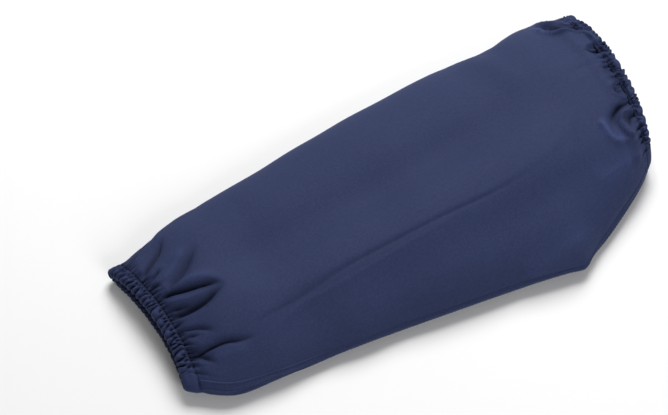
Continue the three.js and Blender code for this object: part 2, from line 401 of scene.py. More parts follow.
def section_outline(section):
    """Points over the crown from the front edge to the back edge, and back underneath."""
    turn = np.linspace(0, 1, OUTLINE_SAMPLES)
    on_top = turn <= 0.5
    run = np.where(on_top, 2 * turn, 2 - 2 * turn)
    across = (1 - np.cos(np.pi * run)) / 2
    width = section["back_y"] - section["front_y"]
    in_front = across < section["ridge"]
    front_share = 1 - across / section["ridge"]
    back_share = (across - section["ridge"]) / (1 - section["ridge"])
    from_ridge = np.where(in_front, front_share, back_share)
    full = np.where(in_front, section["front_full"], section["back_full"])
    rise = np.maximum(0, 1 - from_ridge**full) ** (1 / CROWN_ROUNDING)
    crown = section["edge"] + (section["height"] - section["edge"]) * rise
    lift = np.maximum(0, 1 - np.minimum(across, 1 - across) * width / EDGE_ROLL)
    underside = section["edge"] * (1 - np.sqrt(1 - lift**2))
    x = section["front_x"] + (section["back_x"] - section["front_x"]) * across
    x = x + 4 * section["bow"] * across * (1 - across)
    y = section["front_y"] + width * across
    return np.stack([x, y, np.where(on_top, crown, underside)], axis=1)


def lying_ring(along, around):
    """Places on the smooth sleeve, the way out of it there, and the ring's length."""
    line = section_outline(section_at(along)) + PLAN_SHIFT
    reached = line_lengths(line)
    length = reached[-1]
    place = np.mod(around, 1) * length
    points, ahead, behind = [
        read_line(np.mod(place + step, length), reached, line) for step in (0, TANGENT_REACH, -TANGENT_REACH)
    ]
    tangent = ahead - behind
    outward = np.stack([np.zeros(len(place)), -tangent[:, 2], tangent[:, 1]], axis=1)
    return points, unit(outward), length


def lying_grid(rows, around):
    """Places and ways out for rings of the smooth sleeve, and their lengths. Each row has its own places."""
    rings = [lying_ring(along, places) for along, places in zip(rows, around)]
    return [np.stack(values) for values in zip(*rings)]


def even_places(rows, columns):
    """The same evenly spaced places round each of the rows."""
    return np.tile(np.arange(columns) / columns, (len(rows), 1))


def nearer_end(along):
    return "wrist" if along < SLEEVE_LENGTH / 2 else "arm"


def from_stitching(along):
    return np.minimum(along - WRIST_STITCHING, ARM_STITCHING - along)


def cut_width(along):
    return CUT_WIDTH + CUT_WIDENING * (along - CUT_WIDTH_PLACE)


# Folds
def fold_line(path):
    """Points of a smooth curve through the path's points, evenly spaced between them."""
    points = np.array(path, float)
    before = np.concatenate([2 * points[:1] - points[1:2], points])
    padded = np.concatenate([before, 2 * points[-1:] - points[-2:-1]])
    rank = np.linspace(0, len(points) - 1, FOLD_POINTS)
    near = np.minimum(rank.astype(int), len(points) - 2)
    share = (rank - near)[:, None]
    return catmull_rom(*[padded[near + step] for step in range(4)], share)


FOLD_LINES = [fold_line(row[0]) for row in FOLDS]


def distance_to_line(plan, line):
    """Distance of places from a line, the side, 1 in front and -1 behind, and the share reached."""
    nearest = np.full(plan.shape[:-1], np.inf)
    side = np.zeros(nearest.shape)
    reached = np.zeros(nearest.shape)
    for number in range(len(line) - 1):
        run = line[number + 1] - line[number]
        offset = plan - line[number]
        share = np.clip((offset @ run) / (run @ run), 0, 1)
        apart = offset - share[..., None] * run
        distance = np.linalg.norm(apart, axis=-1)
        closer = distance < nearest
        in_front = run[1] * apart[..., 0] - run[0] * apart[..., 1] > 0
        nearest = np.where(closer, distance, nearest)
        side = np.where(closer, np.where(in_front, 1, -1), side)
        reached = np.where(closer, (number + share) / (len(line) - 1), reached)
    return nearest, side, reached


def fold_relief(places, outward):
    """How far the folds press the cloth in, at places on the lying surface, and the narrow ones alone."""
    plan = (places - PLAN_SHIFT)[..., :2]
    shown = smooth_step(outward[..., 2], 0, FOLD_SLOPE)
    relief = np.zeros(shown.shape)
    narrow = np.zeros(shown.shape)
    full_from, full_to = FOLD_TAPER
    for row, line in zip(FOLDS, FOLD_LINES):
        fold = dict(zip(FOLD_COLUMNS, row))
        reach = FOLD_REACH * fold["half_width"]
        inside = (plan > line.min(axis=0) - reach) & (plan < line.max(axis=0) + reach)
        here = inside.all(axis=-1) & (shown > 0)
        nearest, side, reached = distance_to_line(plan[here], line)
        is_narrow = fold["half_width"] < BROAD_FOLD
        far = nearest / (fold["half_width"] * (1 + fold.get("skew", 0) * side))
        sharpness = FOLD_SHARPNESS if is_narrow else BROAD_SHARPNESS
        bell = np.exp(-(np.sqrt(far**2 + FOLD_BLUNTNESS) ** sharpness))
        taper = smooth_step(reached, 0, full_from) * (1 - smooth_step(reached, full_to, 1))
        depth = fold["depth"] * bell * taper
        relief[here] += depth
        if is_narrow:
            narrow[here] += depth
    return relief * shown, narrow * shown


def uneven_relief(places, outward):
    """Soft low waves of the top, as cloth has that was folded and put down."""
    chance = np.random.default_rng(UNEVEN_SEED)
    plan = places[..., :2]
    waves = np.zeros(plan.shape[:-1])
    for _ in range(UNEVEN_WAVES):
        wavelength = chance.uniform(*UNEVEN_WAVELENGTH)
        turn = chance.uniform(0, np.pi)
        phase = chance.uniform(0, 2 * np.pi)
        way = np.array([np.cos(turn), np.sin(turn)])
        waves += wavelength * np.sin(plan @ way * 2 * np.pi / wavelength + phase)
    return UNEVEN_SHARE * waves / UNEVEN_WAVES * smooth_step(outward[..., 2], 0, FOLD_SLOPE)


# Gathers
def gathered_share(around, length):
    """0 on the flat patch beside the seam, 1 where the cloth is fully gathered."""
    turn = np.mod(around, 1)
    from_seam = np.minimum(turn, 1 - turn) * length
    return smooth_step(from_seam, FLAT_BESIDE_SEAM, FULLY_GATHERED)


class Gathers:
    """The valleys between one set of a hem's gathers: where each crosses the stitch line and the edge."""

    def __init__(self, along, pitch, slant, seed, unevenness):
        chance = np.random.default_rng(seed)
        self.length = lying_ring(along, np.zeros(1))[2]
        count = round((self.length - 2 * FLAT_BESIDE_SEAM) / pitch)
        widths = np.exp(unevenness * chance.normal(0, 1, count))
        drift = np.exp(unevenness * chance.normal(0, 1, count))
        self.at_stitching = self.spread(widths)
        leaning = slant / self.length * gathered_share(self.at_stitching, self.length)
        self.at_edge = np.maximum.accumulate(self.spread((widths + drift) / 2) - leaning)
        self.depth = chance.uniform(*VALLEY_DEPTHS[nearer_end(along)], count + 1)
        self.depth[[0, -1]] = 0
        self.phase = chance.uniform(0, 2 * np.pi, count + 1)
        self.bulge = chance.uniform(*CREST_HEIGHTS, count)
        self.is_long = chance.uniform(0, 1, count + 1) < LONG_CREASE_SHARE
        short = chance.uniform(*SHORT_CREASE, count + 1)
        long = chance.uniform(*LONG_CREASE, count + 1)
        self.reach = np.where(self.is_long, long, short)
        self.slant = CREASE_SLANT * chance.uniform(-1, 1, count + 1)

    def spread(self, widths):
        """Places of the valleys round the ring, from one side of the seam to the other."""
        reached = np.concatenate([[0], np.cumsum(widths)]) / np.sum(widths)
        flat = FLAT_BESIDE_SEAM / self.length
        return flat + reached * (1 - 2 * flat)

    def waves(self, around, share):
        """On a line across the hem: up to 1 in the valleys, and up to 1 on the crests."""
        places = self.at_stitching + (self.at_edge - self.at_stitching) * share
        wiggle = GATHER_WIGGLE / self.length * np.sin(self.phase + WIGGLE_TURN * share)
        places = np.maximum.accumulate(places + wiggle * gathered_share(places, self.length))
        rank = np.interp(np.mod(around, 1), places, np.arange(len(places)))
        before = np.minimum(rank.astype(int), len(places) - 2)
        between = rank - before
        change = DEPTH_CHANGE * (1 + np.cos(self.phase + DEPTH_TURN * share)) / 2
        depths = self.depth * (1 - change)
        depth = depths[before] + (depths[before + 1] - depths[before]) * between
        crest = np.minimum(np.sqrt(np.sin(np.pi * between) ** 2 + VALLEY_BLUNTNESS), 1)
        return depth * (1 - crest), self.bulge[before] * crest

    def creases(self, around, distance, length, long):
        """Depth of the long or the short creases at one distance from the stitch line."""
        depth = np.zeros(np.shape(around))
        for place, deep, is_long, reach, slant in zip(
            self.at_stitching, self.depth, self.is_long, self.reach, self.slant
        ):
            if is_long != long or distance >= reach:
                continue
            start = LONG_CREASE_WIDTH if long else SHORT_CREASE_WIDTH
            width = start + CREASE_SPREAD * distance
            apart = (around - place) * length - slant * distance
            fade = (1 - distance / reach) ** CREASE_FADE
            depth += CREASE_DEPTH * deep * fade * np.exp(-(np.abs(apart / width) ** CREASE_SHARPNESS))
        return depth


def both_hems(table):
    """The gathers of each end from a table of their values."""
    return {end: Gathers(STITCHING[end], *row) for end, row in table.items()}


GATHERS = both_hems(HEM_GATHERS)
AT_EDGE = both_hems(EDGE_GATHERS)


def crease_relief(along, around, length, long):
    """Depth of the creases of both hems on one ring."""
    wrist = GATHERS["wrist"].creases(around, along - WRIST_STITCHING, length, long)
    arm = GATHERS["arm"].creases(around, ARM_STITCHING - along, length, long)
    return wrist + arm


def clear_of_edges(along, around):
    """Little where the ring turns under at its front and back edges, 1 on its top and underside."""
    upright = np.abs(lying_ring(along, around)[1][:, 2])
    return SIDE_FULLNESS + (1 - SIDE_FULLNESS) * smooth_step(upright, 0, FULL_UPRIGHT)


def arm_corner(from_edge, around):
    """How far the pointed corner draws the cloth of one ring."""
    length = GATHERS["arm"].length
    apart = (np.mod(around, 1) - BACK_EDGE) * length
    share = np.exp(-((apart / (ARM_CORNER_WIDTH + ARM_CORNER_WIDENING * max(0, from_edge))) ** 2))
    drawn = [np.interp(from_edge, ARM_CORNER[:, 0], ARM_CORNER[:, axis]) for axis in (1, 2)]
    return share[:, None] * np.array([*drawn, 0])


def stitch_groove(end, around):
    """How far the stitching pulls the cloth in, least on the flat patch beside the seam."""
    gathers = GATHERS[end]
    valley = gathers.waves(around, 0)[0]
    gathered = gathered_share(around, gathers.length) * clear_of_edges(STITCHING[end], around)
    pulled = STITCH_GROOVE[end] - FLAT_GROOVE + GROOVE_VALLEY * valley
    at_back = np.exp(-(((np.mod(around, 1) - BACK_EDGE) * gathers.length / BACK_WIDTH) ** 2))
    return (FLAT_GROOVE + pulled * gathered) * (1 - at_back)


def fold_share(along):
    """How much of the folds' depth is left there: the stitching holds them shallow."""
    least = FOLD_AT_STITCHING[nearer_end(along)]
    return least + (1 - least) * smooth_step(from_stitching(along), 0, FOLD_FULL_FROM)


def end_relief(along, around):
    """How far the cloth is in at the stitch line's groove, less its swelling beside it."""
    end = nearer_end(along)
    distance = from_stitching(along)
    groove = stitch_groove(end, around) * (1 - smooth_step(distance, 0, GROOVE_REACH))
    swell = END_SWELL[end] * np.exp(-(((distance - END_SWELL_PLACE) / END_SWELL_WIDTH) ** 2))
    gathered = gathered_share(around, GATHERS[end].length)
    return groove - swell * gathered * smooth_step(distance, 0, END_SWELL_RISE)


# Meshes from grids of points
class MeshParts:
    """Collects the points and faces of one mesh, with each corner's place on the flat cloth."""

    def __init__(self):
        self.points = []
        # Painted shade and painted highlight of each point
        self.creases = []
        self.faces = []
        self.places = []
        self.count = 0

    def add_points(self, points, painted_shade_and_highlight=0.0):
        """Keeps the points and their painted shade and highlight, 1 for full painted shade deep in a crease
        and -1 for full painted highlight on a crest, and returns their numbers.
        """
        numbers = self.count + np.arange(points.size // 3).reshape(points.shape[:-1])
        self.points.append(points.reshape(-1, 3))
        self.creases.append(np.broadcast_to(painted_shade_and_highlight, numbers.shape).ravel())
        self.count += numbers.size
        return numbers

    def add_faces(self, corners, places):
        self.faces.extend(corners.reshape(-1, corners.shape[-1]).tolist())
        self.places.append(places.reshape(-1, 2))

    def add_grid(self, numbers, places, turned=False):
        """Quads between rows and columns of points. places has one more column than a closed grid."""
        wide = numbers if places.shape[1] == numbers.shape[1] else closed(numbers, axis=1)
        near = slice(None, -1)
        far = slice(1, None)
        corners = [(near, near), (far, near), (far, far), (near, far)]
        if turned:
            corners.reverse()
        self.add_faces(
            np.stack([wide[part] for part in corners], axis=-1),
            np.stack([places[part] for part in corners], axis=-2),
        )

    def make(self, name, material=None):
        mesh = bpy.data.meshes.new(name)
        points = np.concatenate(self.points) * MM
        mesh.from_pydata(points.tolist(), [], self.faces)
        layer = mesh.uv_layers.new(name="weave")
        layer.data.foreach_set("uv", (np.concatenate(self.places) * MM).ravel().astype(np.float32))
        # Painted shade in creases and painted highlight on crests, one value a point, read by the twill
        # material
        depth = mesh.attributes.new(name="painted_shade_and_highlight", type="FLOAT", domain="POINT")
        depth.data.foreach_set("value", np.concatenate(self.creases).astype(np.float32))
        mesh.polygons.foreach_set("use_smooth", np.ones(len(mesh.polygons), bool))
        mesh.materials.append(material)
        mesh.update()
        return add_object(name, mesh)


def grid_normals(points):
    """Outward directions on a grid of rows along the sleeve and columns round it."""
    along = np.gradient(points, axis=0)
    around = np.roll(points, -1, axis=1) - np.roll(points, 1, axis=1)
    return unit(np.cross(along, around))


# The body: settled as cloth on a coarse grid, then creased on a fine one
def spaced_rows(steps, zones=()):
    """Rows from stitch line to stitch line: the first step beside them, and each next one past its zone."""
    rows = [float(WRIST_STITCHING)]
    while rows[-1] < ARM_STITCHING:
        distance = from_stitching(rows[-1])
        step = steps[0]
        for near, far, zone in zip(steps, steps[1:], zones):
            step += (far - near) * smooth_step(distance, *zone)
        rows.append(rows[-1] + step)
    rows = np.array(rows)
    return WRIST_STITCHING + (rows - rows[0]) * (ARM_STITCHING - WRIST_STITCHING) / (rows[-1] - rows[0])


def settle(start, relaxed, held):
    """Runs Blender's cloth from the start shape, with the relaxed shape's edge lengths."""
    parts = MeshParts()
    parts.add_grid(parts.add_points(start), np.zeros((len(start), SETTLE_COLUMNS + 1, 2)))
    cloth_piece = parts.make("settling")
    cloth_piece.shape_key_add(name="start")
    relaxed_key = cloth_piece.shape_key_add(name="relaxed")
    relaxed_key.data.foreach_set("co", (relaxed.reshape(-1, 3) * MM).ravel().astype(np.float32))
    relaxed_key.value = 0
    group = cloth_piece.vertex_groups.new(name="held")
    levels = np.round(held.ravel(), 2)
    for level in np.unique(levels[levels > 0]):
        group.add(np.nonzero(levels == level)[0].tolist(), float(level), "REPLACE")
    cloth = cloth_piece.modifiers.new("cloth", "CLOTH")
    settings = cloth.settings
    settings.rest_shape_key = relaxed_key
    settings.vertex_group_mass = "held"
    for name, value in CLOTH_SETTINGS.items():
        setattr(settings, name, value)
    settings.effector_weights.gravity = 0
    cloth.collision_settings.use_collision = False
    cloth.collision_settings.use_self_collision = False
    cloth.point_cache.frame_start = 1
    cloth.point_cache.frame_end = SETTLE_FRAMES
    scene = bpy.context.scene
    for number in range(1, SETTLE_FRAMES + 1):
        scene.frame_set(number)
    settled_mesh = cloth_piece.evaluated_get(bpy.context.evaluated_depsgraph_get()).data
    settled = np.zeros(start.size, np.float32)
    settled_mesh.vertices.foreach_get("co", settled)
    scene.frame_set(1)
    bpy.data.objects.remove(cloth_piece)
    return settled.reshape(start.shape).astype(float) / MM


def settled_body():
    rows = spaced_rows(SETTLE_ROW_STEPS, SETTLE_ROW_ZONES)
    around = even_places(rows, SETTLE_COLUMNS)
    lying, outward, lengths = lying_grid(rows, around)
    distance = from_stitching(rows)[:, None]
    creased = [crease_relief(*ring, long=True) for ring in zip(rows, around, lengths)]
    start = lying - outward * np.stack(creased)[..., None]
    girth = lengths[:, None] * (1 + SPARE_CLOTH * np.exp(-distance / SPARE_REACH))
    angle = 2 * np.pi * around
    radius = girth / (2 * np.pi)
    on_axis = np.broadcast_to(rows[:, None], around.shape)
    relaxed = np.stack([on_axis, -radius * np.cos(angle), radius * np.sin(angle)], axis=-1)
    held = np.maximum(smooth_step(distance, *FREE_ZONE), np.clip(-outward[..., 2], 0, 1))
    held[[0, -1]] = 1
    moved = settle(start, relaxed, held) - start
    far_moved = np.linalg.norm(moved, axis=-1)
    moved *= np.minimum(1, SETTLE_CAP / np.maximum(far_moved, LEAST_LENGTH))[..., None]
    return rows, start + moved


def body_relief(along, around):
    """How far the finished body lies inside the settled one, which way, and each point's painted shade in
    creases or painted highlight on crests.
    """
    turns = np.mod(around, 1)
    lying, outward, lengths = lying_grid(along, turns)
    shares = np.array([fold_share(place) for place in along])[:, None]
    inset, narrow = [relief * shares for relief in fold_relief(lying, outward)]
    inset += uneven_relief(lying, outward) * smooth_step(from_stitching(along), 0, UNEVEN_FROM)[:, None]
    # Painted shade from the narrow folds' depth and painted highlight from their ridges' height, then
    # painted shade in short creases and the stitch groove
    painted_shade_and_highlight = np.clip(narrow / np.where(narrow > 0, FULL_PAINTED_SHADE_DEPTH, FULL_PAINTED_HIGHLIGHT_HEIGHT), -1, 1)
    for number, place in enumerate(along):
        short = crease_relief(place, turns[number], lengths[number], long=False)
        at_end = end_relief(place, turns[number])
        depth = np.maximum(short / CREASE_DEPTH, (at_end - FLAT_GROOVE) / GROOVE_VALLEY)
        painted_shade_and_highlight[number] = np.maximum(painted_shade_and_highlight[number], np.where(depth > 0, np.minimum(depth, 1), -1))
        inset[number] += short + at_end
    return inset, outward, painted_shade_and_highlight


def pressed(points, inset, outward):
    """Points moved in from the settled body, and not below the floor."""
    moved = points - outward * inset[..., None]
    moved[..., 2] = np.maximum(moved[..., 2], 0)
    return moved


def deepest_beside(inset):
    """At each point of a closed grid, the most of its own value and those of its eight neighbours."""
    padded = np.concatenate([inset[:1], inset, inset[-1:]])
    column = np.maximum(np.maximum(padded[:-2], padded[1:-1]), padded[2:])
    return np.maximum(np.maximum(np.roll(column, 1, axis=1), column), np.roll(column, -1, axis=1))


def settled_points(settled, along, around):
    """Smoothly read points of the settled body for each row's own places, drawn out to the arm's corner."""
    rows, points = settled
    last = len(rows) - 1
    columns = points.shape[1]
    rank = np.interp(along, rows, np.arange(last + 1))
    near = np.clip(rank.astype(int), 0, last - 1)
    share = (rank - near)[:, None, None]
    rings = catmull_rom(*[points[np.clip(near + step, 0, last)] for step in (-1, 0, 1, 2)], share)
    place = np.mod(around, 1) * columns
    first = np.floor(place).astype(int)
    part = (place - first)[..., None]
    line = np.arange(len(along))[:, None]
    smooth = catmull_rom(*[rings[line, (first + step) % columns] for step in (-1, 0, 1, 2)], part)
    drawn = [arm_corner(SLEEVE_LENGTH - row, turns) for row, turns in zip(along, around)]
    return smooth + np.stack(drawn)


def flat_places(along, columns):
    """Places on the cut panel for a closed grid, with the first column repeated at the end."""
    across = np.arange(columns + 1) / columns * cut_width(along)[:, None]
    return np.stack(np.broadcast_arrays(across, along[:, None]), axis=-1)


def add_rim(parts, outer, inner, place, turned):
    """Joins an end row of the outer grid to one of half as many columns of the inner grid."""
    first = outer[0::2]
    second = outer[1::2]
    third = np.roll(first, -1)
    inner_next = np.roll(inner, -1)
    triangles = np.concatenate([
        np.stack([first, second, inner], axis=-1),
        np.stack([second, inner_next, inner], axis=-1),
        np.stack([second, third, inner_next], axis=-1),
    ])
    if turned:
        triangles = triangles[:, ::-1]
    parts.add_faces(triangles, np.full(triangles.shape + (2,), float(place)))


def body_piece(settled, material):
    along = spaced_rows(BODY_ROW_STEPS, BODY_ROW_ZONES)
    around = even_places(along, BODY_COLUMNS)
    smooth = settled_points(settled, along, around)
    inset, outward, painted_shade_and_highlight = body_relief(along, around)
    within = smooth - grid_normals(smooth) * BODY_THICKNESS
    within = pressed(within, deepest_beside(inset), outward)
    within[..., 2] = np.maximum(within[..., 2], BODY_THICKNESS)
    inner_rows = np.append(np.arange(0, len(along) - 1, 2), len(along) - 1)
    inner_along = along[inner_rows]
    parts = MeshParts()
    outer = parts.add_points(pressed(smooth, inset, outward), painted_shade_and_highlight)
    inner = parts.add_points(within[inner_rows][:, ::2])
    parts.add_grid(outer, flat_places(along, BODY_COLUMNS))
    parts.add_grid(inner, flat_places(inner_along, BODY_INNER_COLUMNS), turned=True)
    add_rim(parts, outer[0], inner[0], WRIST_STITCHING, False)
    add_rim(parts, outer[-1], inner[-1], ARM_STITCHING, True)
    return parts.make("body_cloth", material)


# Hems
def hem_profile():
    """Distances across the hem, from under the body's end to the edge and back on the inner leaf."""
    out = np.array(HEM_LINES)
    on_inner = np.arange(2 * len(out) - 1) >= len(out)
    return np.concatenate([out, out[-2::-1]]), on_inner


def hem_waves(end, around, distance):
    """Valleys and crests on one line across the hem: the stitch line's set, then the edge's."""
    share = max(0, distance) / HEM_WIDTH
    by_stitching = 1 - smooth_step(share, *EDGE_GATHERS_FROM)
    near_waves = GATHERS[end].waves(around, share)
    edge_waves = AT_EDGE[end].waves(around, share)
    return [by_stitching * near + (1 - by_stitching) * edge for near, edge in zip(near_waves, edge_waves)]


def leaf_inset(end, distance, on_inner, pinch, valley, crest, gathered):
    """How far inside the lying surface the outer or the inner leaf is, on one line across the hem."""
    swell = smooth_step(distance, *HEM_SWELL[end])
    if on_inner:
        level = HEM_INNER - INNER_RIPPLE * valley * gathered
        inset = (pinch + INNER_STEP) * (1 - swell) + level * swell
    else:
        level = HEM_OUTER + (HEM_VALLEY * valley - HEM_BULGE[end] * crest) * gathered
        under_body = BODY_STEP - BODY_STEP_RISE * smooth_step(distance, *BODY_STEP_ZONE)
        inset = (pinch + under_body) * (1 - swell) + level * swell
        if distance > OUTER_LIMIT_FROM:
            inset = np.minimum(inset, OUTER_LIMIT)
    to_edge = np.clip((HEM_WIDTH - distance) / EDGE_ROUND, 0, 1)
    round_off = 1 - np.sqrt(1 - (1 - to_edge) ** 2)
    return inset + (HEM_MIDDLE - inset) * round_off


def hem_points(end):
    """The casing's points, rows round its own section and columns round the sleeve, and their painted shade
    in the gathers' valleys and the stitch groove.
    """
    stitching = STITCHING[end]
    column = np.arange(HEM_COLUMNS)
    around = column / HEM_COLUMNS
    reach = np.linspace(-HEM_TUCK, HEM_WIDTH, HEM_LYING_LINES)
    rings = stitching + TOWARD_EDGE[end] * reach
    lying, outward, lengths = lying_grid(rings, even_places(rings, HEM_COLUMNS))
    folds = fold_relief(*lying_ring(stitching, around)[:2])[0] * fold_share(stitching)
    creases = [crease_relief(stitching, around, lengths[0], long) for long in (True, False)]
    pinch = stitch_groove(end, around) + folds + sum(creases)
    in_groove = np.clip((pinch - FLAT_GROOVE) / GROOVE_VALLEY, 0, 1)
    gathered = gathered_share(around, GATHERS[end].length) * clear_of_edges(stitching, around)
    rows = []
    painted_shade_rows = []
    for distance, on_inner in zip(*hem_profile()):
        valley, crest = hem_waves(end, around, distance)
        inset = leaf_inset(end, distance, on_inner, pinch, valley, crest, gathered)
        scallop = EDGE_SCALLOP * (valley - CREST_SCALLOP * crest) * gathered
        scallop = scallop * smooth_step(distance, SCALLOP_FROM, HEM_WIDTH)
        rank = np.interp(distance - scallop, reach, np.arange(len(reach)))
        first = np.minimum(rank.astype(int), len(reach) - 2)
        part = (rank - first)[:, None]
        place, way_out = [
            grid[first, column] * (1 - part) + grid[first + 1, column] * part for grid in (lying, outward)
        ]
        points = place - way_out * inset[:, None]
        if end == "arm":
            drawn = smooth_step(distance, INNER_CORNER_FROM, HEM_WIDTH) if on_inner else 1
            points += drawn * arm_corner(HEM_WIDTH - distance, around)
        points[:, 2] = np.maximum(points[:, 2], INNER_FLOOR if on_inner else 0)
        rows.append(points)
        # Painted shade: darker in the gathers' valleys and in the stitch line's groove
        valley_painted_shade = smooth_step(valley * gathered, *VALLEY_SHADE[end])
        groove_painted_shade = in_groove * (1 - smooth_step(distance, *HEM_SWELL[end]))
        painted_shade_rows.append(np.maximum(valley_painted_shade, groove_painted_shade))
    return np.stack(rows), np.stack(painted_shade_rows)


def hem_piece(end, material):
    points, painted_shade_and_highlight = hem_points(end)
    parts = MeshParts()
    numbers = parts.add_points(points, painted_shade_and_highlight)
    profile = np.append(hem_profile()[0], -HEM_TUCK)
    across = np.arange(HEM_COLUMNS + 1) / HEM_COLUMNS * cut_width(STITCHING[end])
    places = np.stack(np.meshgrid(across, profile), axis=-1)
    parts.add_grid(closed(numbers), places, turned=end == "wrist")
    return parts.make(end + "_casing", material), points


# Side seam
LENGTH_PLACES = np.arange(0, SLEEVE_LENGTH + 1, LENGTH_STEP)
LENGTHS = np.array([lying_ring(along, np.zeros(1))[2] for along in LENGTH_PLACES])


def seam_grid(settled, offsets):
    """Rows along the seam, and points on the body with their ways out, for each offset from its middle."""
    along = spaced_rows(SEAM_ROW_STEPS)
    turned = SEAM_TURN_AT_WRIST * (1 - smooth_step(along, HEM_WIDTH, SEAM_TURN_END))
    lengths = np.interp(along, LENGTH_PLACES, LENGTHS)[:, None]
    around = (turned[:, None] + offsets[None, :]) / lengths
    inset, outward, _ = body_relief(along, around)
    points = pressed(settled_points(settled, along, around), inset, outward)
    return along, points, unit(np.cross(*np.gradient(points, axis=(0, 1))))


def seam_piece(settled, material):
    offsets = np.linspace(-SEAM_WIDTH / 2, SEAM_WIDTH / 2, SEAM_COLUMNS)
    along, points, normal = seam_grid(settled, offsets)
    edge = np.minimum(1, (SEAM_WIDTH / 2 - np.abs(offsets)) / SEAM_EDGE)
    raised = SEAM_RAISED * np.sqrt(np.maximum(0, 1 - (1 - edge) ** 2))
    from_stitches = (np.abs(offsets) - SEAM_STITCHES_AT) / SEAM_DENT_WIDTH
    stitched = SEAM_DENT * np.exp(-(from_stitches**2))
    top = points + normal * (raised - stitched + SEAM_LIFT)[None, :, None]
    under = points - normal * SEAM_SINK
    loop = np.concatenate([top, under[:, ::-1]], axis=1)
    loop[..., 2] = np.maximum(loop[..., 2], 0)
    parts = MeshParts()
    numbers = parts.add_points(loop)
    around = np.concatenate([offsets, offsets[::-1], offsets[:1]])
    places = np.stack(np.meshgrid(around, along), axis=-1)
    parts.add_grid(numbers, places)
    half = len(offsets)
    for row, turned in ((0, True), (-1, False)):
        cap = np.stack([numbers[row, :half], numbers[row, half:][::-1]])
        parts.add_grid(cap, np.full(cap.shape + (2,), float(along[row])), turned=turned)
    return parts.make("side_seam_strip", material)


# Stitches
def stitch_run(parts, line, normal):
    """Adds small rounded stitches along a line of points, each lying on the cloth."""
    reached = line_lengths(line)
    count = int(reached[-1] / STITCH_PITCH)
    stations = np.array(STITCH_STATIONS)
    starts = (np.arange(count) + 0.5 * (1 - STITCH_SHARE)) * reached[-1] / count
    places = starts[:, None] + stations[None, :] * STITCH_SHARE * STITCH_PITCH
    centre = read_line(places, reached, line)
    ahead = unit(np.gradient(centre, axis=1))
    side = unit(np.cross(ahead, read_line(places, reached, normal)))
    up = np.cross(side, ahead)
    arch = np.sin(np.pi * stations)
    swell = (STITCH_RADIUS * np.sqrt(np.maximum(STITCH_TIP, arch)))[None, :, None, None]
    lift = (STITCH_RADIUS * (STITCH_RISE * arch - STITCH_BURIED))[None, :, None, None]
    angle = (2 * np.pi * np.arange(STITCH_SIDES) / STITCH_SIDES)[:, None]
    upward = up[:, :, None] * (lift + swell * np.cos(angle))
    sideways = side[:, :, None] * (swell * np.sin(angle))
    for stitch in parts.add_points(centre[:, :, None] + upward + sideways):
        parts.add_grid(stitch, np.zeros((len(stations), STITCH_SIDES + 1, 2)))
        parts.add_faces(stitch[:1], np.zeros((STITCH_SIDES, 2)))
        parts.add_faces(stitch[-1:, ::-1], np.zeros((STITCH_SIDES, 2)))


def hem_stitches(end, points, material):
    """One row of stitches beside the stitch line, on the casing's outer leaf."""
    line = points[HEM_STITCH_LINE]
    normal = grid_normals(points[:2 * HEM_STITCH_LINE])[HEM_STITCH_LINE] * TOWARD_EDGE[end]
    parts = MeshParts()
    stitch_run(parts, closed(line), closed(normal))
    return parts.make(end + "_stitches", material)


def seam_stitches(settled, material):
    """Two rows of stitches on the seam's strip, away from its ends."""
    parts = MeshParts()
    offsets = SEAM_STITCHES_AT * np.array([-1, 0, 1])
    along, points, normal = seam_grid(settled, offsets)
    shown = from_stitching(along) > SEAM_STITCHES_FROM
    for column in (0, 2):
        way_out = normal[shown, column]
        stitch_run(parts, points[shown, column] + way_out * (SEAM_RAISED - SEAM_STITCHES_SINK), way_out)
    return parts.make("seam_stitches", material)


# Materials
class Shading:
    """A material and its nodes."""

    def __init__(self, name):
        self.material = bpy.data.materials.new(name)
        self.material.use_nodes = True
        self.tree = self.material.node_tree

    def fill(self, node, inputs):
        """Gives each of a node's inputs its value, or the output that feeds it."""
        for name, value in inputs.items():
            if isinstance(value, bpy.types.NodeSocket):
                self.tree.links.new(value, node.inputs[name])
            else:
                node.inputs[name].default_value = value

    def add(self, kind, inputs=None, **settings):
        """Adds a node and returns its outputs."""
        node = self.tree.nodes.new("ShaderNode" + kind)
        for name, setting in settings.items():
            setattr(node, name, setting)
        self.fill(node, inputs or {})
        return node.outputs

    def bands(self, vector, spacing, direction="X", turn=BAND_TURN, **inputs):
        """Outputs of a texture with bands that far apart."""
        scale = 2 * math.pi / (turn * spacing * MM)
        return self.add("TexWave", {"Vector": vector, "Scale": scale, **inputs}, bands_direction=direction)

    def noise(self, **inputs):
        """Values of a noise texture in the object's own coordinates."""
        place = self.add("TexCoord")["Object"]
        return self.add("TexNoise", {"Vector": place, **inputs})["Fac"]

    def ramp(self, source, tones, places=(0, 1)):
        """A colour between two tones, which are reached at the two places of the source's values."""
        node = self.tree.nodes.new("ShaderNodeValToRGB")
        for element, place, tone in zip(node.color_ramp.elements, places, tones):
            element.position = place
            element.color = tone
        self.fill(node, {"Fac": source})
        return node.outputs["Color"]

    def span(self, source, before, after):
        """The source's values brought from one range to another."""
        ends = {"From Min": before[0], "From Max": before[1], "To Min": after[0], "To Max": after[1]}
        return self.add("MapRange", {"Value": source, **ends})["Result"]

    def multiply(self, colour, by, share=1):
        inputs = {"Factor": share, "A": colour, "B": by}
        return self.add("Mix", inputs, data_type="RGBA", blend_type="MULTIPLY")["Result"]

    def finish(self, inputs):
        self.fill(self.tree.nodes["Principled BSDF"], inputs)
        return self.material


